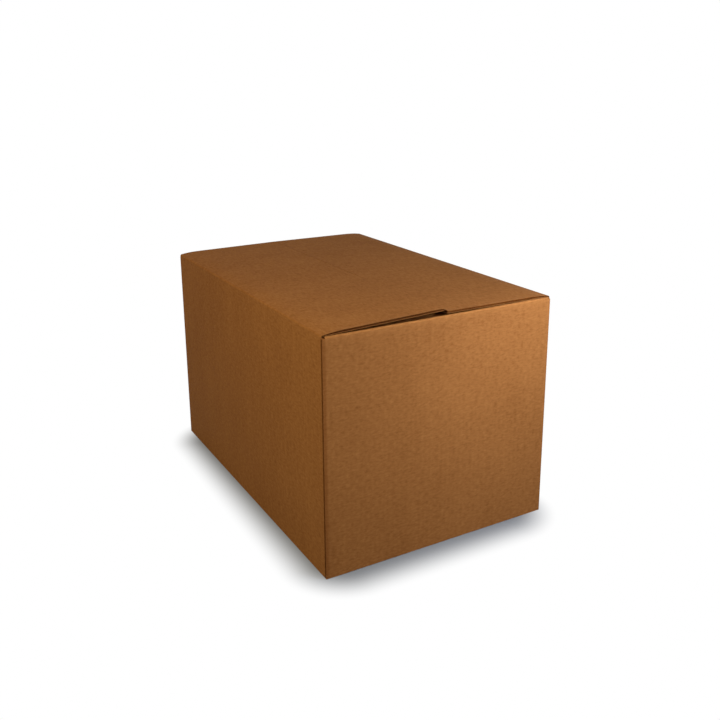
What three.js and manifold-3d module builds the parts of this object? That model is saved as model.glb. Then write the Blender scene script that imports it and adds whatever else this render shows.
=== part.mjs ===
// Shipping box: a regular slotted carton of corrugated board, shut but not taped.
// Millimetres, +Z up. The origin is the middle of the base. X runs across the
// width, Y along the length, and the short end with the glued corner faces -Y.

import * as THREE from 'three';
import { mergeVertices } from 'three/addons/utils/BufferGeometryUtils.js';
import Module from 'manifold-3d';

// Outside sizes of the closed carton, measured to its creases
const LENGTH = 600;
const WIDTH = 400;
const HEIGHT = 370;

// Board and creases
const BOARD = 4;
const FOLD_RADIUS = 3;
const CORNER_RADIUS = 4;
const INSIDE_RADIUS = 0.8;

// Slots between the flaps: how far each flap's ends stand in from the panel faces
const OUTER_FLAP_SETBACK = 3;
const INNER_FLAP_SETBACK = 6;

// Flaps
const INNER_FLAP_REACH = 200;
const SEAM_GAP = 1;
const LAYER_GAP = 0.3;
const INNER_FLAP_SINK = 1.8;
const CRUSHED_RUN = 42;

// Warp of the outer top flaps, measured at their free edges
const EDGE_LIFT = 1.5;
const CORNER_LIFT = 6.6;
const LIFTED_LENGTH = 270;
const WARP_STEPS = 30;

// Glued joint inside the front panel
const TAB_WIDTH = 35;
const TAB_ROOT = 8;
const TAB_END_INSET = 14;
const TAB_TAPER = 6;

// How far the panel parts overlap before they are fused, and the steps of an arc
const STUB_HEIGHT = 20;
const ARC_SEGMENTS = 6;

const wasm = await Module();
wasm.setup();

// Levels worked out from the sizes above
const wallTop = HEIGHT - BOARD - LAYER_GAP;
const innerFlapTop = HEIGHT - INNER_FLAP_SINK;
const outerFlapUnderside = innerFlapTop + LAYER_GAP;
const outerFlapRise = outerFlapUnderside + BOARD - HEIGHT;
const outerFlapReach = (WIDTH - SEAM_GAP) / 2;
const outerFlapLength = LENGTH - 2 * OUTER_FLAP_SETBACK;
const bottomFlapLength = LENGTH - 2 * (BOARD + LAYER_GAP);
const innerFlapWidth = WIDTH - 2 * INNER_FLAP_SETBACK;
const innerBottomLevel = BOARD + LAYER_GAP;

// Quarter turns that carry a shape made for the left side to the other sides
const SIDE = { left: 0, front: Math.PI / 2, right: Math.PI, back: -Math.PI / 2 };

// Leaves out the triangles that lost a corner when their shared points were merged
function withoutSlivers(index) {
  const kept = [];
  for (let i = 0; i < index.length; i += 3) {
    const [a, b, c] = index.slice(i, i + 3);
    if (a !== b && b !== c && c !== a) {
      kept.push(a, b, c);
    }
  }
  return kept;
}

function toSolid(geometry) {
  const bare = geometry.clone();
  bare.deleteAttribute('normal');
  bare.deleteAttribute('uv');
  const merged = mergeVertices(bare);
  const vertProperties = new Float32Array(merged.attributes.position.array);
  const triVerts = new Uint32Array(withoutSlivers(merged.index.array));
  return new wasm.Manifold(new wasm.Mesh({ numProp: 3, vertProperties, triVerts }));
}

function toGeometry(solid) {
  const mesh = solid.getMesh();
  const geometry = new THREE.BufferGeometry();
  geometry.setAttribute('position', new THREE.BufferAttribute(mesh.vertProperties, 3));
  geometry.setIndex(new THREE.BufferAttribute(mesh.triVerts, 1));
  geometry.computeVertexNormals();
  return geometry;
}

function fuse(geometries) {
  const solids = geometries.map(toSolid);
  return toGeometry(solids.reduce((whole, next) => whole.add(next)));
}

// Extrudes a profile drawn as (distance in from the panel face, height) along a side
function extrudeAlongSide(profile, length, steps = 1) {
  const geometry = new THREE.ExtrudeGeometry(profile, {
    depth: length,
    steps,
    curveSegments: ARC_SEGMENTS,
    bevelEnabled: false,
  });
  geometry.rotateX(Math.PI / 2);
  geometry.translate(0, length / 2, 0);
  return geometry;
}

function placeOnSide(geometry, angle, span) {
  geometry.translate(-span / 2, 0, 0);
  geometry.rotateZ(angle);
  return geometry;
}

// Outline of the sleeve in plan. The front panel ends in a raw edge at the front left
// corner, and the left panel folds in behind it.
function sleeveOutline() {
  const x = WIDTH / 2;
  const y = LENGTH / 2;
  const r = CORNER_RADIUS;
  const plan = new THREE.Shape();
  plan.moveTo(-x, -y);
  plan.lineTo(x - r, -y);
  plan.absarc(x - r, -y + r, r, -Math.PI / 2, 0);
  plan.lineTo(x, y - r);
  plan.absarc(x - r, y - r, r, 0, Math.PI / 2);
  plan.lineTo(-x + r, y);
  plan.absarc(-x + r, y - r, r, Math.PI / 2, Math.PI);
  plan.lineTo(-x, -y + BOARD + r);
  plan.absarc(-x + r, -y + BOARD + r, r, Math.PI, 1.5 * Math.PI);
  plan.lineTo(-x, -y + BOARD);
  plan.closePath();
  return plan;
}

// Room inside the sleeve in plan, with the root of the glued tab at the front left
function sleeveInside() {
  const s = INSIDE_RADIUS;
  const x = WIDTH / 2 - BOARD;
  const y = LENGTH / 2 - BOARD;
  const plan = new THREE.Shape();
  plan.moveTo(-x + TAB_ROOT, -y);
  plan.lineTo(x - s, -y);
  plan.absarc(x - s, -y + s, s, -Math.PI / 2, 0);
  plan.lineTo(x, y - s);
  plan.absarc(x - s, y - s, s, 0, Math.PI / 2);
  plan.lineTo(-x + s, y);
  plan.absarc(-x + s, y - s, s, Math.PI / 2, Math.PI);
  plan.lineTo(-x, -y + BOARD);
  plan.lineTo(-x + TAB_ROOT, -y + BOARD);
  plan.closePath();
  return plan;
}

function extrudeUp(plan, bottom, top) {
  const geometry = new THREE.ExtrudeGeometry(plan, {
    depth: top - bottom,
    curveSegments: ARC_SEGMENTS,
    bevelEnabled: false,
  });
  geometry.translate(0, 0, bottom);
  return geometry;
}

// The four panels, between the levels where the folds of the flaps begin
function sleeve() {
  const outline = toSolid(extrudeUp(sleeveOutline(), FOLD_RADIUS, innerFlapTop - FOLD_RADIUS));
  const inside = toSolid(extrudeUp(sleeveInside(), 0, innerFlapTop));
  return toGeometry(outline.subtract(inside));
}

// Top of a long side panel, up to the crease of its outer flap
function sideRim(angle) {
  const geometry = new THREE.BoxGeometry(BOARD, outerFlapLength, STUB_HEIGHT);
  geometry.translate(BOARD / 2, 0, 0);
  placeOnSide(geometry, angle, WIDTH);
  geometry.translate(0, 0, wallTop - STUB_HEIGHT / 2);
  return geometry;
}

// Flap folded over from a short stub of its panel. Height zero is the flap's outer face.
function foldedFlapProfile(reach) {
  const r = FOLD_RADIUS;
  const s = INSIDE_RADIUS;
  const profile = new THREE.Shape();
  profile.moveTo(0, -STUB_HEIGHT);
  profile.lineTo(BOARD, -STUB_HEIGHT);
  profile.lineTo(BOARD, -BOARD - s);
  profile.absarc(BOARD + s, -BOARD - s, s, Math.PI, Math.PI / 2, true);
  profile.lineTo(reach, -BOARD);
  profile.lineTo(reach, 0);
  profile.lineTo(r, 0);
  profile.absarc(r, -r, r, Math.PI / 2, Math.PI);
  profile.closePath();
  return profile;
}

// Inner bottom flap with its panel. The weight of the box presses the crease down to
// the floor in front of the outer flaps' ends, and the flap lies on top of them.
function pressedFlapProfile(reach) {
  const r = FOLD_RADIUS;
  const s = INSIDE_RADIUS;
  const under = innerBottomLevel;
  const top = under + BOARD;
  const profile = new THREE.Shape();
  profile.moveTo(0, r);
  profile.absarc(r, r, r, Math.PI, 1.5 * Math.PI);
  profile.lineTo(BOARD, 0);
  profile.lineTo(BOARD, under);
  profile.lineTo(reach, under);
  profile.lineTo(reach, top);
  profile.lineTo(BOARD + s, top);
  profile.absarc(BOARD + s, top + s, s, 1.5 * Math.PI, Math.PI, true);
  profile.lineTo(BOARD, top + STUB_HEIGHT);
  profile.lineTo(0, top + STUB_HEIGHT);
  profile.closePath();
  return profile;
}

function innerTopFlap(angle) {
  const geometry = extrudeAlongSide(foldedFlapProfile(INNER_FLAP_REACH), innerFlapWidth);
  placeOnSide(geometry, angle, LENGTH);
  geometry.translate(0, 0, innerFlapTop);
  return geometry;
}

function innerBottomFlap(angle) {
  const geometry = extrudeAlongSide(pressedFlapProfile(INNER_FLAP_REACH), innerFlapWidth);
  return placeOnSide(geometry, angle, LENGTH);
}

function outerBottomFlap(angle) {
  const geometry = extrudeAlongSide(foldedFlapProfile(outerFlapReach), bottomFlapLength);
  geometry.rotateX(Math.PI);
  return placeOnSide(geometry, angle, WIDTH);
}

// Tab of the glued joint, flat against the inner face of the front panel
function glueTab() {
  const bottom = innerBottomLevel + BOARD + TAB_END_INSET;
  const top = innerFlapTop - BOARD - TAB_END_INSET;
  const outline = new THREE.Shape();
  outline.moveTo(TAB_ROOT / 2, bottom);
  outline.lineTo(TAB_WIDTH, bottom + TAB_TAPER);
  outline.lineTo(TAB_WIDTH, top - TAB_TAPER);
  outline.lineTo(TAB_ROOT / 2, top);
  outline.closePath();
  const geometry = new THREE.ExtrudeGeometry(outline, {
    depth: 1.5 * BOARD,
    bevelEnabled: false,
  });
  geometry.rotateX(Math.PI / 2);
  geometry.translate(-WIDTH / 2 + BOARD, -LENGTH / 2 + 2 * BOARD, 0);
  return geometry;
}

// The whole blank apart from the two outer top flaps: four panels, the glued tab,
// the four bottom flaps folded shut and the two inner top flaps folded in
function cartonGeometry() {
  return fuse([
    sleeve(),
    glueTab(),
    sideRim(SIDE.left),
    sideRim(SIDE.right),
    outerBottomFlap(SIDE.left),
    outerBottomFlap(SIDE.right),
    innerBottomFlap(SIDE.front),
    innerBottomFlap(SIDE.back),
    innerTopFlap(SIDE.front),
    innerTopFlap(SIDE.back),
  ]);
}

// Section of an outer top flap. The board is crushed thin at the crease and comes
// back to its full thickness over the crushed run. Height zero is the crease.
function outerFlapProfile() {
  const r = FOLD_RADIUS;
  const under = outerFlapUnderside - HEIGHT;
  const profile = new THREE.Shape();
  profile.moveTo(0, -BOARD);
  profile.lineTo(BOARD - INSIDE_RADIUS, -BOARD);
  profile.lineTo(BOARD + INSIDE_RADIUS, under);
  profile.lineTo(outerFlapReach, under);
  profile.lineTo(outerFlapReach, outerFlapRise);
  profile.lineTo(CRUSHED_RUN, outerFlapRise);
  profile.bezierCurveTo(CRUSHED_RUN / 2, outerFlapRise, 3 * r, outerFlapRise / 2, r, 0);
  profile.absarc(r, -r, r, Math.PI / 2, Math.PI);
  profile.closePath();
  return profile;
}

// Height that a flap's free edge has gained at a place along the length
function evenLift() {
  return EDGE_LIFT;
}

function cornerLift(y) {
  const front = -LENGTH / 2;
  const fade = 1 - THREE.MathUtils.smoothstep(y, front, front + LIFTED_LENGTH);
  return EDGE_LIFT + (CORNER_LIFT - EDGE_LIFT) * fade;
}

function outerTopFlapGeometry(angle, liftAt) {
  const geometry = extrudeAlongSide(outerFlapProfile(), outerFlapLength, WARP_STEPS);
  placeOnSide(geometry, angle, WIDTH);
  const position = geometry.attributes.position;
  for (let i = 0; i < position.count; i += 1) {
    const reach = WIDTH / 2 - Math.abs(position.getX(i));
    const share = reach / outerFlapReach;
    position.setZ(i, position.getZ(i) + HEIGHT + share * liftAt(position.getY(i)));
  }
  geometry.computeVertexNormals();
  return geometry;
}

function kraftMaterial(colour) {
  return new THREE.MeshStandardMaterial({ color: colour, roughness: 0.9, metalness: 0 });
}

function part(name, geometry, colour) {
  const mesh = new THREE.Mesh(geometry, kraftMaterial(colour));
  mesh.name = name;
  return mesh;
}

const box = new THREE.Group();
box.add(part('carton', cartonGeometry(), 0xb98a5c));
box.add(part('left_top_flap', outerTopFlapGeometry(SIDE.left, cornerLift), 0xb5865a));
box.add(part('right_top_flap', outerTopFlapGeometry(SIDE.right, evenLift), 0xb88a5e));

export default box;
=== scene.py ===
"""A closed shipping box of corrugated board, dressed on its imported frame.

Everything is in metres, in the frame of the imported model: +Z up, X across the width,
Y along the length, with the short end that shows the glued corner facing -Y.
"""

from __future__ import annotations

import logging
import math
from dataclasses import dataclass, field
from enum import Enum
from typing import Callable

import bmesh
import bpy
from mathutils import Matrix, Vector

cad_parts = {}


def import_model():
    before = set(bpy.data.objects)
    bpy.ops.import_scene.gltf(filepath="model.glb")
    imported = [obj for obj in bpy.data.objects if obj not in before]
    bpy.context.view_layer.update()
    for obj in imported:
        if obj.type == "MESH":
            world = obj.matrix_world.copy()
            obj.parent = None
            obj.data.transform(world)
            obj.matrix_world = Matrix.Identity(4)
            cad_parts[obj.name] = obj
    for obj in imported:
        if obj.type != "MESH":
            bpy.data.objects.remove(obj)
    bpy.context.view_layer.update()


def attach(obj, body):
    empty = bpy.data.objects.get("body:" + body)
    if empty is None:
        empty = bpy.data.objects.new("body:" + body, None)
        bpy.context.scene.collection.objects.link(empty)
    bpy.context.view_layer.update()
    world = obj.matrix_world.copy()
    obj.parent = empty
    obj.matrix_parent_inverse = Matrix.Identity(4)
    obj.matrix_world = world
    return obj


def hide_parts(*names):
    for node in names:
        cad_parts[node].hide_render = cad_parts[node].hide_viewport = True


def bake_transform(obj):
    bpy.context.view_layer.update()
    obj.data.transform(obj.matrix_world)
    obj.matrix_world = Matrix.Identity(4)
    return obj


LOG = logging.getLogger("shipping_box")
PICTURE_SIZE = 720.0
SHARP_ANGLE = math.radians(35.0)

# A sheet of paper: (distance past the crease, place along it, share through the paper) to a point
Surface = Callable[[float, float, float], Vector]


class Side(Enum):
    """The side of the box that a piece stands on, as its turn from the left side."""

    LEFT = 0.0
    FRONT = math.pi / 2
    RIGHT = math.pi
    BACK = -math.pi / 2

    def turn(self) -> Matrix:
        """Returns the turn about +Z that carries a left piece to this side."""
        return Matrix.Rotation(self.value, 4, "Z")


@dataclass(frozen=True)
class BoxSizes:
    """Driving sizes of the carton, in metres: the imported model's, and its finer forms here."""

    length: float = 0.600
    width: float = 0.400
    height: float = 0.370
    board: float = 0.004
    liner: float = 0.00042
    medium: float = 0.00028
    flute_pitch: float = 0.0078
    fold_radius: float = 0.003
    corner_radius: float = 0.002
    inside_radius: float = 0.0008
    outer_setback: float = 0.003
    inner_setback: float = 0.006
    inner_top_setback: float = 0.0045
    inner_reach: float = 0.200
    seam_gap: float = 0.001
    layer_gap: float = 0.0003
    inner_sink: float = 0.0018
    crushed_run: float = 0.042
    edge_lift: float = 0.0015
    corner_lift: float = 0.0066
    lifted_length: float = 0.270
    corner_wear: float = 0.0065
    wear_length: float = 0.060
    inner_sag: float = 0.006
    panel_bottom: float = 0.0010
    tab_width: float = 0.035
    tab_inset: float = 0.014
    tab_taper: float = 0.006

    @property
    def inner_top(self) -> float:
        """Height of the inner top flaps' outer face."""
        return self.height - self.inner_sink

    @property
    def outer_underside(self) -> float:
        """Height of the outer top flaps' underside where they lie on the inner ones."""
        return self.inner_top + self.layer_gap

    @property
    def outer_rise(self) -> float:
        """Height of the outer top flaps' face over their creases."""
        return self.outer_underside + self.board - self.height

    @property
    def outer_reach(self) -> float:
        """Length of an outer flap from its panel face to its free edge."""
        return (self.width - self.seam_gap) / 2

    @property
    def inner_bottom(self) -> float:
        """Height of the inner bottom flaps' underside."""
        return self.board + self.layer_gap


def smooth(value: float) -> float:
    """Returns the smooth step of a share, held between 0 and 1."""
    share = min(1.0, max(0.0, value))
    return share * share * (3.0 - 2.0 * share)


@dataclass(frozen=True)
class Grain:
    """One noise of the paper: its scale per metre, its octaves and its share of the shade."""

    scale: float
    detail: float
    share: float


@dataclass(frozen=True)
class KraftFinish:
    """Brown kraft liner: fibres, mottling, roll streaks and faint flute lines."""

    name: str
    dark: tuple[float, float, float]
    light: tuple[float, float, float]
    flute_axis: str = "Y"
    washboard: float = 0.000008
    roughness: float = 0.78
    specular: float = 0.06
    # Pale band over the ends' top folds: painted highlight of the rounded folds, with the paleness of
    # stretched fibres
    fold_wear_and_highlight: float = 0.0
    # Share of the painted shade beside the glued edge
    painted_edge_shade: float = 0.0
    clouds: Grain = Grain(7.0, 3.0, 0.45)
    mottle: Grain = Grain(120.0, 4.0, 0.75)
    streaks: Grain = Grain(40.0, 3.0, 0.25)
    fibres: Grain = Grain(360.0, 3.0, 1.20)
    flecks: Grain = Grain(330.0, 2.0, 0.35)
    flute_share: float = 0.02
    grain_depth: float = 0.00022
    grain_strength: float = 0.8

    def build(self, pitch: float) -> bpy.types.Material:
        """Builds the node material.

        Args:
            pitch: distance between two flutes.

        Returns:
            The material.
        """
        material = bpy.data.materials.new(self.name)
        material.use_nodes = True
        tree = material.node_tree
        tree.nodes.clear()
        place = tree.nodes.new("ShaderNodeTexCoord").outputs["Object"]
        even = (1.0, 1.0, 1.0)
        clouds = self._noise(tree, place, even, self.clouds)
        mottle = self._noise(tree, place, even, self.mottle)
        streaks = self._noise(tree, place, self._streak_scale(), self.streaks)
        fibres = self._noise(tree, place, self._fibre_scale(), self.fibres)
        flutes = self._flutes(tree, place, pitch)
        terms = [
            (clouds, self.clouds.share),
            (mottle, self.mottle.share),
            (streaks, self.streaks.share),
            (fibres, self.fibres.share),
            (flutes, self.flute_share),
        ]
        shade = self._sum(tree, terms, 0.5)
        tint = tree.nodes.new("ShaderNodeMix")
        tint.data_type = "RGBA"
        tint.inputs["A"].default_value = (*self.dark, 1.0)
        tint.inputs["B"].default_value = (*self.light, 1.0)
        tree.links.new(shade, tint.inputs["Factor"])
        colour = self._flecks(tree, place, tint.outputs["Result"])
        if self.fold_wear_and_highlight > 0.0:
            colour = self._fold_highlight_and_edge_shade(tree, place, colour)
        shader = tree.nodes.new("ShaderNodeBsdfPrincipled")
        shader.inputs["Specular IOR Level"].default_value = self.specular
        shader.inputs["Roughness"].default_value = self.roughness
        tree.links.new(colour, shader.inputs["Base Color"])
        tree.links.new(self._relief(tree, flutes, mottle, fibres), shader.inputs["Normal"])
        output = tree.nodes.new("ShaderNodeOutputMaterial")
        tree.links.new(shader.outputs["BSDF"], output.inputs["Surface"])
        return material

    def _streak_scale(self) -> tuple[float, float, float]:
        """Returns the stretch of the roll streaks, which run along the flutes' rows."""
        return (0.08, 1.0, 0.08) if self.flute_axis == "Y" else (1.0, 0.08, 0.08)

    def _fibre_scale(self) -> tuple[float, float, float]:
        """Returns the stretch of the fibres, which lie across the flutes."""
        return (1.0, 0.35, 1.0) if self.flute_axis == "Y" else (0.35, 1.0, 1.0)

    @staticmethod
    def _noise(
        tree: bpy.types.NodeTree,
        place: bpy.types.NodeSocket,
        stretch: tuple[float, float, float],
        grain: Grain,
    ) -> bpy.types.NodeSocket:
        """Adds a stretched noise.

        Args:
            tree: the node tree.
            place: the coordinates.
            stretch: how much each axis is scaled.
            grain: the noise's scale and octaves.

        Returns:
            The noise's value.
        """
        mapping = tree.nodes.new("ShaderNodeMapping")
        mapping.inputs["Scale"].default_value = stretch
        tree.links.new(place, mapping.inputs["Vector"])
        node = tree.nodes.new("ShaderNodeTexNoise")
        node.inputs["Scale"].default_value = grain.scale
        node.inputs["Detail"].default_value = grain.detail
        node.inputs["Roughness"].default_value = 0.6
        tree.links.new(mapping.outputs["Vector"], node.inputs["Vector"])
        return node.outputs["Fac"]

    def _flutes(
        self, tree: bpy.types.NodeTree, place: bpy.types.NodeSocket, pitch: float
    ) -> bpy.types.NodeSocket:
        """Adds the wave of the flutes under the liner.

        Args:
            tree: the node tree.
            place: the coordinates.
            pitch: distance between two flutes.

        Returns:
            A wave from -1 to 1.
        """
        split = tree.nodes.new("ShaderNodeSeparateXYZ")
        tree.links.new(place, split.inputs["Vector"])
        turns = tree.nodes.new("ShaderNodeMath")
        turns.operation = "MULTIPLY"
        turns.inputs[1].default_value = 2.0 * math.pi / pitch
        tree.links.new(split.outputs[self.flute_axis], turns.inputs[0])
        wave = tree.nodes.new("ShaderNodeMath")
        wave.operation = "SINE"
        tree.links.new(turns.outputs["Value"], wave.inputs[0])
        return wave.outputs["Value"]

    @staticmethod
    def _sum(
        tree: bpy.types.NodeTree,
        terms: list[tuple[bpy.types.NodeSocket, float]],
        middle: float,
    ) -> bpy.types.NodeSocket:
        """Adds weighted values round a middle value.

        Args:
            tree: the node tree.
            terms: each value with its weight; noises lie round 0.5.
            middle: the sum where every noise is at 0.5.

        Returns:
            The sum.
        """
        offset = middle - sum(weight * 0.5 for _, weight in terms)
        total: bpy.types.NodeSocket | None = None
        for value, weight in terms:
            node = tree.nodes.new("ShaderNodeMath")
            node.operation = "MULTIPLY_ADD"
            tree.links.new(value, node.inputs[0])
            node.inputs[1].default_value = weight
            if total is None:
                node.inputs[2].default_value = offset
            else:
                tree.links.new(total, node.inputs[2])
            total = node.outputs["Value"]
        return total

    def _flecks(
        self,
        tree: bpy.types.NodeTree,
        place: bpy.types.NodeSocket,
        colour: bpy.types.NodeSocket,
    ) -> bpy.types.NodeSocket:
        """Lays sparse darker fibre flecks over the paper.

        Args:
            tree: the node tree.
            place: the coordinates.
            colour: the paper's colour.

        Returns:
            The colour with its flecks.
        """
        grain = self._noise(tree, place, self._fibre_scale(), self.flecks)
        mask = tree.nodes.new("ShaderNodeMapRange")
        mask.inputs["From Min"].default_value = 0.66
        mask.inputs["From Max"].default_value = 0.78
        tree.links.new(grain, mask.inputs["Value"])
        fleck = tuple(FLECK_TINT * part for part in self.dark)
        return self._tinted(tree, colour, fleck, mask.outputs["Result"], self.flecks.share)

    def _fold_highlight_and_edge_shade(
        self,
        tree: bpy.types.NodeTree,
        place: bpy.types.NodeSocket,
        colour: bpy.types.NodeSocket,
    ) -> bpy.types.NodeSocket:
        """Paints a highlight over the ends' top folds, together with the paleness of their stretched
        fibres, and paints shade beside the glued edge.

        Args:
            tree: the node tree.
            place: the coordinates.
            colour: the paper's colour.

        Returns:
            The colour with its painted highlight and painted shade.
        """
        either_end = tree.nodes.new("ShaderNodeVectorMath")
        either_end.operation = "ABSOLUTE"
        tree.links.new(place, either_end.inputs[0])
        # Pale band over the top folds: painted highlight, with the paleness of stretched fibres
        folds = self._mark(tree, either_end.outputs["Vector"], FOLD_BAND)
        pale = tuple(PALE_TINT * part for part in self.light)
        colour = self._tinted(tree, colour, pale, folds, self.fold_wear_and_highlight)
        # Darker band beside the glued edge: painted shade where the bowed panel edge turns away from the
        # lamps
        edge = self._mark(tree, place, EDGE_BAND)
        painted_shade_tint = tuple(share * part for share, part in zip(PAINTED_SHADE_TINT, self.dark))
        return self._tinted(tree, colour, painted_shade_tint, edge, self.painted_edge_shade)

    @staticmethod
    def _mark(
        tree: bpy.types.NodeTree,
        place: bpy.types.NodeSocket,
        ranges: dict[str, tuple[float, float]],
    ) -> bpy.types.NodeSocket:
        """Marks a part of the box.

        Args:
            tree: the node tree.
            place: the coordinates.
            ranges: for each axis, where the mark begins and where it is full.

        Returns:
            The mark, from 0 to 1.
        """
        split = tree.nodes.new("ShaderNodeSeparateXYZ")
        tree.links.new(place, split.inputs["Vector"])
        mark: bpy.types.NodeSocket | None = None
        for axis, (begin, full) in ranges.items():
            ramp = tree.nodes.new("ShaderNodeMapRange")
            ramp.interpolation_type = "SMOOTHSTEP"
            ramp.inputs["From Min"].default_value = begin
            ramp.inputs["From Max"].default_value = full
            tree.links.new(split.outputs[axis], ramp.inputs["Value"])
            if mark is None:
                mark = ramp.outputs["Result"]
                continue
            both = tree.nodes.new("ShaderNodeMath")
            both.operation = "MULTIPLY"
            tree.links.new(mark, both.inputs[0])
            tree.links.new(ramp.outputs["Result"], both.inputs[1])
            mark = both.outputs["Value"]
        return mark

    @staticmethod
    def _tinted(
        tree: bpy.types.NodeTree,
        colour: bpy.types.NodeSocket,
        tint: tuple[float, ...],
        mark: bpy.types.NodeSocket,
        amount: float,
    ) -> bpy.types.NodeSocket:
        """Mixes a tint into a colour where it is marked.

        Args:
            tree: the node tree.
            colour: the colour.
            tint: the tint.
            mark: where it shows, from 0 to 1.
            amount: the tint's share where the mark is full.

        Returns:
            The tinted colour.
        """
        share = tree.nodes.new("ShaderNodeMath")
        share.operation = "MULTIPLY"
        share.inputs[1].default_value = amount
        tree.links.new(mark, share.inputs[0])
        mix = tree.nodes.new("ShaderNodeMix")
        mix.data_type = "RGBA"
        mix.inputs["B"].default_value = (*tint, 1.0)
        tree.links.new(share.outputs["Value"], mix.inputs["Factor"])
        tree.links.new(colour, mix.inputs["A"])
        return mix.outputs["Result"]

    def _relief(
        self,
        tree: bpy.types.NodeTree,
        flutes: bpy.types.NodeSocket,
        mottle: bpy.types.NodeSocket,
        fibres: bpy.types.NodeSocket,
    ) -> bpy.types.NodeSocket:
        """Adds the washboard of the flutes and the paper's own roughness as bump.

        Args:
            tree: the node tree.
            flutes: the wave of the flutes.
            mottle: the middling noise.
            fibres: the fine noise.

        Returns:
            The bumped normal.
        """
        coarse = tree.nodes.new("ShaderNodeBump")
        coarse.inputs["Strength"].default_value = 1.0
        coarse.inputs["Distance"].default_value = self.washboard
        tree.links.new(flutes, coarse.inputs["Height"])
        height = self._sum(tree, [(mottle, 0.7), (fibres, 0.3)], 0.5)
        fine = tree.nodes.new("ShaderNodeBump")
        fine.inputs["Strength"].default_value = self.grain_strength
        fine.inputs["Distance"].default_value = self.grain_depth
        tree.links.new(height, fine.inputs["Height"])
        tree.links.new(coarse.outputs["Normal"], fine.inputs["Normal"])
        return fine.outputs["Normal"]


KRAFT_DARK = (0.215, 0.081, 0.019)
KRAFT_LIGHT = (0.400, 0.177, 0.052)
MEDIUM_SHARE = (0.34, 0.24, 0.12)

# Where the ends' top folds get a pale band, partly stretched fibres and partly a painted highlight, and
# the band of painted shade beside the glued edge
FOLD_BAND = {"Z": (0.356, 0.368), "Y": (0.288, 0.298)}
EDGE_BAND = {"X": (-0.1930, -0.1975), "Y": (-0.288, -0.296)}
PALE_TINT = 1.4
# Colour of the painted shade beside the glued edge, as shares of the dark paper
PAINTED_SHADE_TINT = (0.75, 0.58, 0.35)
FLECK_TINT = 0.55


@dataclass
class Paper:
    """The finishes of the board, one for each way that its flutes run."""

    sizes: BoxSizes
    ends: bpy.types.Material = field(init=False)
    sides: bpy.types.Material = field(init=False)
    medium: bpy.types.Material = field(init=False)

    def __post_init__(self) -> None:
        """Builds the materials."""
        pitch = self.sizes.flute_pitch
        ends = KraftFinish(
            "kraft_ends", KRAFT_DARK, KRAFT_LIGHT, "X", fold_wear_and_highlight=0.18, painted_edge_shade=0.42
        )
        self.ends = ends.build(pitch)
        self.sides = KraftFinish("kraft_sides", KRAFT_DARK, KRAFT_LIGHT, "Y").build(pitch)
        dull = tuple(share * part for share, part in zip(MEDIUM_SHARE, KRAFT_DARK))
        worn = tuple(share * part for share, part in zip(MEDIUM_SHARE, KRAFT_LIGHT))
        medium = KraftFinish("kraft_medium", dull, worn, "Y", washboard=0.0, roughness=0.85)
        self.medium = medium.build(pitch)


def finish_piece(
    name: str, mesh: bmesh.types.BMesh, materials: list[bpy.types.Material]
) -> bpy.types.Object:
    """Turns a bmesh into a smooth shaded object at the origin.

    Args:
        name: the piece's name.
        mesh: its mesh, in the frame; it is freed here.
        materials: its materials, in the order of the faces' indices.

    Returns:
        The object.
    """
    data = bpy.data.meshes.new(name)
    mesh.to_mesh(data)
    mesh.free()
    data.shade_smooth()
    data.set_sharp_from_angle(angle=SHARP_ANGLE)
    for material in materials:
        data.materials.append(material)
    piece = bpy.data.objects.new(name, data)
    bpy.context.scene.collection.objects.link(piece)
    return piece


def add_sheet(
    whole: bmesh.types.BMesh,
    surface: Surface,
    steps: list[float],
    ends: tuple[float, float],
    rows: int,
    material_index: int,
) -> None:
    """Adds a thin closed sheet of paper to a mesh.

    Args:
        whole: the mesh that takes the sheet.
        surface: places the sheet's points.
        steps: the distances past the crease where the sheet has a row of points.
        ends: the first and last place along the crease.
        rows: the number of strips along the crease.
        material_index: the index of its material.
    """
    sheet = bmesh.new()
    bmesh.ops.create_grid(sheet, x_segments=len(steps) - 1, y_segments=rows, size=0.5)
    copied = bmesh.ops.extrude_face_region(sheet, geom=sheet.faces[:], use_keep_orig=True)["geom"]
    inner = [item for item in copied if isinstance(item, bmesh.types.BMVert)]
    bmesh.ops.translate(sheet, verts=inner, vec=(0.0, 0.0, -1.0))
    for vert in sheet.verts:
        column = round((vert.co.x + 0.5) * (len(steps) - 1))
        along = ends[0] + (ends[1] - ends[0]) * (vert.co.y + 0.5)
        vert.co = surface(steps[column], along, -vert.co.z)
    bmesh.ops.remove_doubles(sheet, verts=sheet.verts, dist=1e-7)
    bmesh.ops.recalc_face_normals(sheet, faces=sheet.faces)
    for face in sheet.faces:
        face.material_index = material_index
    data = bpy.data.meshes.new("sheet")
    sheet.to_mesh(data)
    sheet.free()
    whole.from_mesh(data)
    bpy.data.meshes.remove(data)


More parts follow.
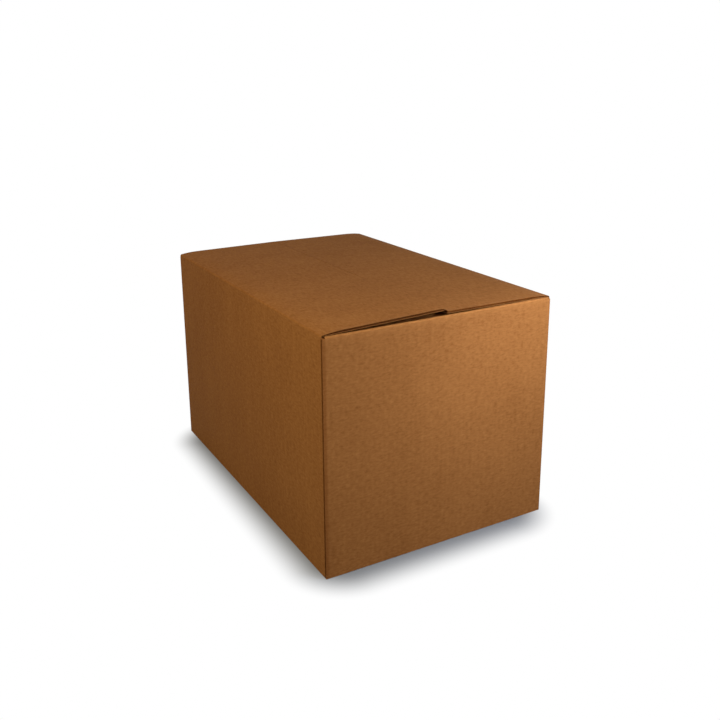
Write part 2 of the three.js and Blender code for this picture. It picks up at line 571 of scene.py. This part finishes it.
@dataclass
class FlutedFlap:
    """A flap of fluted board: two liners with the waved medium between them.

    It is made on the left side, with its crease along Y, and then turned to its side.
    """

    sizes: BoxSizes
    name: str
    side: Side
    reach: float
    width: float
    level: float
    folded: bool = True
    pressed: bool = False
    upside_down: bool = False
    crush: float = 0.38
    crush_run: float = 0.009
    pressed_run: float = 0.002
    rise_power: float = 2.6
    stiff_run: float = 0.03
    sag: float = 0.0
    sag_run: float = 0.009
    lift: Callable[[float], float] | None = None
    worn: Callable[[float], float] | None = None
    steps_per_flute: int = 8

    @property
    def half_span(self) -> float:
        """Distance from the middle of the box to the panel face that carries the flap."""
        ends = self.side in (Side.FRONT, Side.BACK)
        return (self.sizes.length if ends else self.sizes.width) / 2

    def thickness(self, u: float) -> float:
        """Returns the board's thickness at a distance past the crease."""
        s = self.sizes
        if not self.folded:
            return s.board
        if self.pressed and u > 0.0:
            return s.board - s.outer_rise + self.face_height(u)
        crush, run = self.crush, self.crush_run
        if self.pressed:
            crush, run = s.outer_rise / s.board, self.pressed_run
        return s.board * (1.0 - crush * math.exp(-((u / run) ** 2)))

    def face_height(self, u: float) -> float:
        """Returns the height of the outer face over the crease, where the flap lies on another."""
        if not self.pressed:
            return 0.0
        s = self.sizes
        past = max(u - s.fold_radius * math.pi / 4, 0.0) / (s.crushed_run - s.fold_radius)
        return s.outer_rise * (1.0 - (1.0 - min(past, 1.0)) ** self.rise_power)

    def steps(self) -> list[float]:
        """Returns the distances past the crease where the flap has a row of points."""
        if not self.folded:
            return [self.sizes.board + (self.reach - self.sizes.board) * i / 16 for i in range(17)]
        quarter = self.sizes.fold_radius * math.pi / 4
        arc = [-quarter + 2 * quarter * i / 8 for i in range(9)]
        run = self.sizes.crushed_run
        near = [quarter + (run - quarter) * (i / 12) ** 1.3 for i in range(1, 13)]
        last = self.reach - self.sizes.fold_radius + quarter
        far = [run + (last - run) * i / 14 for i in range(1, 15)]
        return arc + near + far if self.reach > run else arc + [last]

    def point(self, u: float, y: float, depth: float) -> Vector:
        """Places a point of the board.

        Args:
            u: distance past the crease along the outer face.
            y: place along the crease.
            depth: share of the board's thickness under the outer face.

        Returns:
            The point, on the flap's own side of the box.
        """
        radius = self.sizes.fold_radius
        quarter = radius * math.pi / 4
        inward = depth * self.thickness(u)
        if not self.folded:
            flat = Vector((u, 0.0, -inward))
        else:
            centre = max(radius, inward)
            bend = max(radius - inward, 0.0)
            angle = (min(max(u, -quarter), quarter) + quarter) / (2 * quarter) * math.pi / 2
            past = max(u - quarter, 0.0)
            flat = Vector((centre - bend * math.cos(angle) + past, 0.0, bend * math.sin(angle) - centre))
        flat.z += self.face_height(max(u, 0.0))
        flat.z -= self.sag * (1.0 - math.exp(-max(u - quarter, 0.0) / self.sag_run))
        if self.worn is not None:
            loose = max(flat.x - self.stiff_run, 0.0) / (self.reach - self.stiff_run)
            flat.x -= self.worn(y) * loose
        if self.lift is not None:
            flat.z += self.lift(y) * max(flat.x, 0.0) / self.sizes.outer_reach
        flat.y = y
        if self.upside_down:
            flat.z = -flat.z
        flat.x -= self.half_span
        flat.z += self.level
        return self.side.turn() @ flat

    def build(self, outer: bpy.types.Material, medium: bpy.types.Material) -> bpy.types.Object:
        """Builds the flap.

        Args:
            outer: the liners' material.
            medium: the fluted medium's material.

        Returns:
            The piece.
        """
        s = self.sizes
        whole = bmesh.new()
        ends = (-self.width / 2, self.width / 2)
        flutes = round(self.width / s.flute_pitch)
        rows = 2 * flutes
        skin = s.liner / s.board
        half_medium = 0.5 * s.medium / s.board

        def outer_liner(u: float, y: float, through: float) -> Vector:
            """Places a point of the liner on the outer face."""
            return self.point(u, y, skin * through)

        def inner_liner(u: float, y: float, through: float) -> Vector:
            """Places a point of the liner on the inner face."""
            return self.point(u, y, 1.0 - skin * (1.0 - through))

        def wave(u: float, y: float, through: float) -> Vector:
            """Places a point of the waved medium."""
            swing = (0.5 - skin - half_medium) * math.sin(2.0 * math.pi * y / s.flute_pitch)
            return self.point(u, y, 0.5 + swing + half_medium * (2.0 * through - 1.0))

        add_sheet(whole, outer_liner, self.steps(), ends, rows, 0)
        add_sheet(whole, inner_liner, self.steps(), ends, rows, 0)
        add_sheet(whole, wave, self.steps(), ends, self.steps_per_flute * flutes, 1)
        return finish_piece(self.name, whole, [outer, medium])


@dataclass
class Sleeve:
    """The four panels with their folded corners, and the tab glued inside the front one."""

    sizes: BoxSizes
    arc_steps: int = 8
    edge_depth: float = 0.0028
    pressed_steps: int = 6
    pressed_width: float = 0.009
    pressed_depth: float = 0.0004

    def plan(self) -> list[tuple[Vector, Vector]]:
        """Returns the ribbon in plan, as pairs of outer and inner points, from the raw edge on."""
        s = self.sizes
        x, y, t = s.width / 2, s.length / 2, s.board
        pairs = []
        for i in range(self.pressed_steps + 1):
            share = i / self.pressed_steps
            place = -x + self.pressed_width * share
            bow = self.pressed_depth * (1.0 - share) ** 2
            pairs.append((Vector((place, -y + bow)), Vector((place, -y + t))))
        corners = [(x, -y, -0.5), (x, y, 0.0), (-x, y, 0.5)]
        for cx, cy, start in corners:
            pairs += self._corner(cx, cy, start)
        pairs += self._corner(-x, -y + t, 1.0)
        tab_end = -x + t + s.tab_width
        pairs.append((Vector((tab_end, -y + t)), Vector((tab_end, -y + 2 * t))))
        return pairs

    def _corner(self, cx: float, cy: float, start: float) -> list[tuple[Vector, Vector]]:
        """Returns the pairs round one folded corner.

        Args:
            cx: the sharp corner's X.
            cy: the sharp corner's Y.
            start: the first direction, in half turns.

        Returns:
            The pairs of outer and inner points.
        """
        s = self.sizes
        radius, inside = s.corner_radius, s.inside_radius
        toward = Vector((-math.copysign(1.0, cx), -math.copysign(1.0, cy)))
        outer_centre = Vector((cx, cy)) + toward * radius
        inner_centre = Vector((cx, cy)) + toward * (s.board + inside)
        pairs = []
        for i in range(self.arc_steps + 1):
            angle = (start + 0.5 * i / self.arc_steps) * math.pi
            way = Vector((math.cos(angle), math.sin(angle)))
            pairs.append((outer_centre + way * radius, inner_centre + way * inside))
        return pairs

    def build(self, paper: Paper) -> bpy.types.Object:
        """Builds the panels.

        Args:
            paper: the finishes.

        Returns:
            The piece.
        """
        s = self.sizes
        bottom, top = s.panel_bottom, s.inner_top - s.fold_radius
        mesh = bmesh.new()
        pairs = self.plan()
        outer = [mesh.verts.new((p.x, p.y, bottom)) for p, _ in pairs]
        edges = [mesh.edges.new(ends) for ends in zip(outer, outer[1:])]
        ribbon = bmesh.ops.extrude_edge_only(mesh, edges=edges)["geom"]
        inner = [item for item in ribbon if isinstance(item, bmesh.types.BMVert)]
        for vert in inner:
            nearest = min(pairs, key=lambda pair: (pair[0] - vert.co.xy).length)
            vert.co.xy = nearest[1]
        lifted = bmesh.ops.extrude_face_region(mesh, geom=mesh.faces[:], use_keep_orig=True)["geom"]
        tops = [item for item in lifted if isinstance(item, bmesh.types.BMVert)]
        bmesh.ops.translate(mesh, verts=tops, vec=(0.0, 0.0, top - bottom))
        self._trim_tab(mesh, bottom, top)
        bmesh.ops.recalc_face_normals(mesh, faces=mesh.faces)
        self._open_raw_edge(mesh)
        self._add_rims(mesh, top)
        for face in mesh.faces:
            across = abs(face.normal.x) > abs(face.normal.y)
            face.material_index = 1 if across else 0
        return finish_piece("carton_panels", mesh, [paper.ends, paper.sides])

    def _trim_tab(self, mesh: bmesh.types.BMesh, bottom: float, top: float) -> None:
        """Cuts the glued tab's ends back at a slant, and sets it just behind the panel."""
        s = self.sizes
        end = -s.width / 2 + s.board + s.tab_width
        front = -s.length / 2 + s.board
        for vert in mesh.verts:
            on_tab = abs(vert.co.x - end) < 1e-6 and vert.co.y < front + s.board + 1e-6
            if on_tab:
                trim = s.tab_inset + s.tab_taper
                vert.co.z += trim if vert.co.z < (bottom + top) / 2 else -trim
                vert.co.y += s.layer_gap / 3

    def _open_raw_edge(self, mesh: bmesh.types.BMesh) -> None:
        """Opens the front panel's raw edge between its two liners, where the flutes show."""
        s = self.sizes
        raw = [
            face
            for face in mesh.faces
            if face.normal.x < -0.99 and face.calc_center_median().y < -s.length / 2 + s.board
        ]
        bmesh.ops.inset_region(mesh, faces=raw, thickness=s.liner, use_even_offset=True)
        moved = {vert for face in raw for vert in face.verts}
        bmesh.ops.translate(mesh, verts=list(moved), vec=(self.edge_depth, 0.0, 0.0))

    def _add_rims(self, mesh: bmesh.types.BMesh, top: float) -> None:
        """Carries the long panels up to where their outer flaps' creases begin."""
        s = self.sizes
        height = s.height - s.fold_radius - top
        for turn in (-1.0, 1.0):
            rim = bmesh.ops.create_cube(mesh, size=1.0)["verts"]
            size = (s.board, s.length - 2 * s.outer_setback, height)
            bmesh.ops.scale(mesh, verts=rim, vec=size)
            middle = (turn * (s.width - s.board) / 2, 0.0, top + height / 2)
            bmesh.ops.translate(mesh, verts=rim, vec=middle)


@dataclass
class ShippingBox:
    """The whole box: its panels, its bottom and inner flaps and its two hinged flaps."""

    sizes: BoxSizes
    paper: Paper

    def worn_corner(self, y: float) -> float:
        """Returns how far the right flap's free edge is worn back, most at its front corner."""
        s = self.sizes
        return s.corner_wear * (1.0 - smooth((s.length / 2 - y) / s.wear_length))

    def even_lift(self, _y: float) -> float:
        """Returns the right flap's lift at its free edge."""
        return self.sizes.edge_lift

    def corner_lift(self, y: float) -> float:
        """Returns the left flap's lift at its free edge, greatest at the front corner."""
        s = self.sizes
        fade = 1.0 - smooth((y + s.length / 2) / s.lifted_length)
        return s.edge_lift + (s.corner_lift - s.edge_lift) * fade

    def build(self) -> None:
        """Builds every piece, and sets the panels and fixed flaps on the carton's body."""
        panels = Sleeve(self.sizes).build(self.paper)
        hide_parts("carton")
        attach(panels, "carton")
        LOG.info("built %s", panels.name)
        for flap in self.fixed_flaps():
            ends = flap.side in (Side.FRONT, Side.BACK)
            piece = flap.build(self.paper.ends if ends else self.paper.sides, self.paper.medium)
            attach(piece, "carton")
            LOG.info("built %s", piece.name)
        self.hinged_flap("left_outer_flap", Side.LEFT, self.corner_lift, "left_top_flap")
        self.hinged_flap("right_outer_flap", Side.RIGHT, self.even_lift, "right_top_flap")

    def fixed_flaps(self) -> list[FlutedFlap]:
        """Returns the flaps that have no joint."""
        s = self.sizes
        inner_width = s.width - 2 * s.inner_setback
        top_width = s.width - 2 * s.inner_top_setback
        bottom_width = s.length - 2 * (s.board + s.layer_gap)
        flaps = []
        for side, word in ((Side.FRONT, "front"), (Side.BACK, "back")):
            flaps += [
                FlutedFlap(
                    s,
                    f"{word}_inner_top_flap",
                    side,
                    s.inner_reach,
                    top_width,
                    s.inner_top,
                    sag=s.inner_sag,
                ),
                FlutedFlap(
                    s, f"{word}_bottom_lip", side, s.board, inner_width, 0.0, upside_down=True
                ),
                FlutedFlap(
                    s,
                    f"{word}_inner_bottom_flap",
                    side,
                    s.inner_reach,
                    inner_width,
                    s.inner_bottom,
                    folded=False,
                    upside_down=True,
                ),
            ]
        for side, word in ((Side.LEFT, "left"), (Side.RIGHT, "right")):
            flaps.append(
                FlutedFlap(
                    s,
                    f"{word}_outer_bottom_flap",
                    side,
                    s.outer_reach,
                    bottom_width,
                    0.0,
                    upside_down=True,
                )
            )
        return flaps

    def hinged_flap(
        self, name: str, side: Side, lift: Callable[[float], float], node: str
    ) -> None:
        """Builds an outer top flap with its rounded crease.

        Args:
            name: the piece's name.
            side: the panel that carries it.
            lift: gives its free edge's lift at a place along the crease.
            node: the CAD node that it stands for.
        """
        s = self.sizes
        width = s.length - 2 * s.outer_setback
        flap = FlutedFlap(s, name, side, s.outer_reach, width, s.height, pressed=True, lift=lift)
        if side is Side.RIGHT:
            flap.worn = self.worn_corner
        piece = flap.build(self.paper.sides, self.paper.medium)
        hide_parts(node)
        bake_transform(piece)
        LOG.info("built %s", piece.name)


@dataclass(frozen=True)
class Lamp:
    """A soft square lamp that faces a point."""

    name: str
    place: tuple[float, float, float]
    aim: tuple[float, float, float]
    size: float
    power: float
    colour: tuple[float, float, float] = (1.0, 1.0, 1.0)

    def build(self) -> None:
        """Adds the lamp to the scene."""
        data = bpy.data.lights.new(self.name, "AREA")
        data.size = self.size
        data.energy = self.power
        data.color = self.colour
        lamp = bpy.data.objects.new(self.name, data)
        lamp.visible_camera = False
        lamp.location = self.place
        toward = Vector(self.aim) - Vector(self.place)
        lamp.rotation_euler = toward.to_track_quat("-Z", "Y").to_euler()
        bpy.context.scene.collection.objects.link(lamp)
        LOG.info("lit %s", self.name)


@dataclass(frozen=True)
class Studio:
    """White floor, white background and soft lamps."""

    floor_size: float = 12.0
    # Dark floor paint near the box, fading to white glow away from it: a painted contact shadow over the
    # real shadow that the lamps cast
    floor_paint: tuple[float, float, float] = (0.174, 0.205, 0.248)
    shadow_glow: float = 0.09
    shadow_reach: float = 0.070
    shadow_round: float = 0.040
    shadow_half: tuple[float, float] = (0.140, 0.245)
    shadow_centre: tuple[float, float] = (-0.010, -0.015)
    sky: float = 0.25
    sky_colour: tuple[float, float, float] = (1.0, 0.80, 0.62)
    lamps: tuple[Lamp, ...] = (
        Lamp("key_lamp", (0.35, -0.85, 0.62), (0.12, -0.30, 0.30), 0.3, 2.0, (1.0, 0.95, 1.0)),
        Lamp("near_lamp", (0.18, -0.61, 0.46), (0.12, -0.30, 0.30), 0.3, 1.70, (0.87, 0.88, 1.0)),
        Lamp("left_lamp", (-0.95, -0.55, 0.95), (-0.20, -0.25, 0.25), 0.4, 5.75, (1.0, 0.915, 0.64)),
        Lamp("far_left_lamp", (-1.00, 0.10, 0.90), (-0.20, 0.05, 0.25), 0.4, 1.3, (1.0, 0.61, 0.2)),
        Lamp("right_lamp", (0.90, -0.20, 1.10), (0.10, 0.0, 0.37), 0.6, 1.6, (0.6, 0.76, 1.0)),
        Lamp("back_lamp", (0.95, 1.15, 0.13), (0.15, 0.20, 0.19), 0.3, 15.0, (1.0, 0.9, 0.78)),
    )

    def build(self) -> None:
        """Builds the stage and lights it."""
        self._floor()
        self._world()
        for lamp in self.lamps:
            lamp.build()

    @staticmethod
    def _seen(tree: bpy.types.NodeTree) -> bpy.types.NodeSocket:
        """Returns a value of 1 for rays of the camera, of mirrors and through glass."""
        path = tree.nodes.new("ShaderNodeLightPath")
        total = path.outputs["Is Camera Ray"]
        for other in ("Is Glossy Ray", "Is Transmission Ray"):
            larger = tree.nodes.new("ShaderNodeMath")
            larger.operation = "MAXIMUM"
            tree.links.new(total, larger.inputs[0])
            tree.links.new(path.outputs[other], larger.inputs[1])
            total = larger.outputs["Value"]
        return total

    def _painted_shadow_fade(self, tree: bpy.types.NodeTree) -> bpy.types.NodeSocket:
        """Returns a painted shadow: a value that rises from its lowest beside the box to 1 where the
        shadow has faded.
        """
        place = tree.nodes.new("ShaderNodeTexCoord").outputs["Object"]
        moved = tree.nodes.new("ShaderNodeVectorMath")
        moved.operation = "SUBTRACT"
        moved.inputs[1].default_value = (*self.shadow_centre, 0.0)
        tree.links.new(place, moved.inputs[0])
        size = tree.nodes.new("ShaderNodeVectorMath")
        size.operation = "ABSOLUTE"
        tree.links.new(moved.outputs["Vector"], size.inputs[0])
        beyond = tree.nodes.new("ShaderNodeVectorMath")
        beyond.operation = "SUBTRACT"
        beyond.inputs[1].default_value = (*self.shadow_half, 0.0)
        tree.links.new(size.outputs["Vector"], beyond.inputs[0])
        outside = tree.nodes.new("ShaderNodeVectorMath")
        outside.operation = "MAXIMUM"
        outside.inputs[1].default_value = (0.0, 0.0, 0.0)
        tree.links.new(beyond.outputs["Vector"], outside.inputs[0])
        distance = tree.nodes.new("ShaderNodeVectorMath")
        distance.operation = "LENGTH"
        tree.links.new(outside.outputs["Vector"], distance.inputs[0])
        fade = tree.nodes.new("ShaderNodeMapRange")
        fade.interpolation_type = "SMOOTHSTEP"
        fade.inputs["From Min"].default_value = self.shadow_round
        fade.inputs["From Max"].default_value = self.shadow_round + self.shadow_reach
        fade.inputs["To Min"].default_value = self.shadow_glow
        tree.links.new(distance.outputs["Value"], fade.inputs["Value"])
        return fade.outputs["Result"]

    def _floor(self) -> None:
        """Builds the floor, which looks white and keeps the box's shadow, partly real from the lamps and
        partly painted as dark paint that fades to white glow away from the box.
        """
        mesh = bmesh.new()
        bmesh.ops.create_grid(mesh, x_segments=1, y_segments=1, size=self.floor_size / 2)
        data = bpy.data.meshes.new("floor")
        mesh.to_mesh(data)
        mesh.free()
        material = bpy.data.materials.new("floor_white")
        material.use_nodes = True
        tree = material.node_tree
        tree.nodes.clear()
        paint = tree.nodes.new("ShaderNodeBsdfDiffuse")
        paint.inputs["Color"].default_value = (*self.floor_paint, 1.0)
        glow = tree.nodes.new("ShaderNodeEmission")
        share = tree.nodes.new("ShaderNodeMath")
        share.operation = "MULTIPLY"
        tree.links.new(self._seen(tree), share.inputs[0])
        tree.links.new(self._painted_shadow_fade(tree), share.inputs[1])
        mix = tree.nodes.new("ShaderNodeMixShader")
        tree.links.new(share.outputs["Value"], mix.inputs["Fac"])
        tree.links.new(paint.outputs["BSDF"], mix.inputs[1])
        tree.links.new(glow.outputs["Emission"], mix.inputs[2])
        output = tree.nodes.new("ShaderNodeOutputMaterial")
        tree.links.new(mix.outputs["Shader"], output.inputs["Surface"])
        data.materials.append(material)
        floor = bpy.data.objects.new("floor", data)
        bpy.context.scene.collection.objects.link(floor)

    def _world(self) -> None:
        """Makes the background white, and lights the box evenly at a lower level."""
        world = bpy.data.worlds.new("studio")
        world.use_nodes = True
        tree = world.node_tree
        tree.nodes.clear()
        light = tree.nodes.new("ShaderNodeBackground")
        light.inputs["Color"].default_value = (*self.sky_colour, 1.0)
        light.inputs["Strength"].default_value = self.sky
        white = tree.nodes.new("ShaderNodeBackground")
        white.inputs["Color"].default_value = (1.0, 1.0, 1.0, 1.0)
        mix = tree.nodes.new("ShaderNodeMixShader")
        tree.links.new(self._seen(tree), mix.inputs["Fac"])
        tree.links.new(light.outputs["Background"], mix.inputs[1])
        tree.links.new(white.outputs["Background"], mix.inputs[2])
        output = tree.nodes.new("ShaderNodeOutputWorld")
        tree.links.new(mix.outputs["Shader"], output.inputs["Surface"])
        bpy.context.scene.world = world


@dataclass(frozen=True)
class PhotoCamera:
    """The photograph's camera, from the fit to the box's six outer corners."""

    place: tuple[float, float, float] = (-0.68285, -1.25182, 0.71584)
    azimuth: float = -29.038
    elevation: float = 15.060
    roll: float = -0.519
    focal_pixels: float = 841.10
    centre_x: float = 351.47
    centre_y: float = 293.56
    sensor: float = 36.0

    def build(self) -> None:
        """Adds the camera and makes it the scene's own."""
        azimuth, elevation = math.radians(self.azimuth), math.radians(self.elevation)
        back = Vector(
            (
                math.sin(azimuth) * math.cos(elevation),
                -math.cos(azimuth) * math.cos(elevation),
                math.sin(elevation),
            )
        )
        across = Vector((0.0, 0.0, 1.0)).cross(back).normalized()
        up = back.cross(across)
        lean = Matrix.Rotation(math.radians(self.roll), 3, back)
        data = bpy.data.cameras.new("photo_camera")
        data.sensor_width = self.sensor
        data.lens = self.focal_pixels / PICTURE_SIZE * self.sensor
        data.shift_x = 0.5 - self.centre_x / PICTURE_SIZE
        data.shift_y = self.centre_y / PICTURE_SIZE - 0.5
        data.clip_start, data.clip_end = 0.05, 100.0
        camera = bpy.data.objects.new("photo_camera", data)
        frame = Matrix((lean @ across, lean @ up, back)).transposed()
        camera.matrix_world = Matrix.Translation(self.place) @ frame.to_4x4()
        bpy.context.scene.collection.objects.link(camera)
        bpy.context.scene.camera = camera


def main() -> None:
    """Builds the box, its stage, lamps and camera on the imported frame."""
    logging.basicConfig(level=logging.INFO, format="%(name)s: %(message)s")
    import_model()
    bpy.context.scene.view_settings.view_transform = "Standard"
    PhotoCamera().build()
    Studio().build()
    sizes = BoxSizes()
    ShippingBox(sizes, Paper(sizes)).build()


if __name__ == "__main__":
    main()
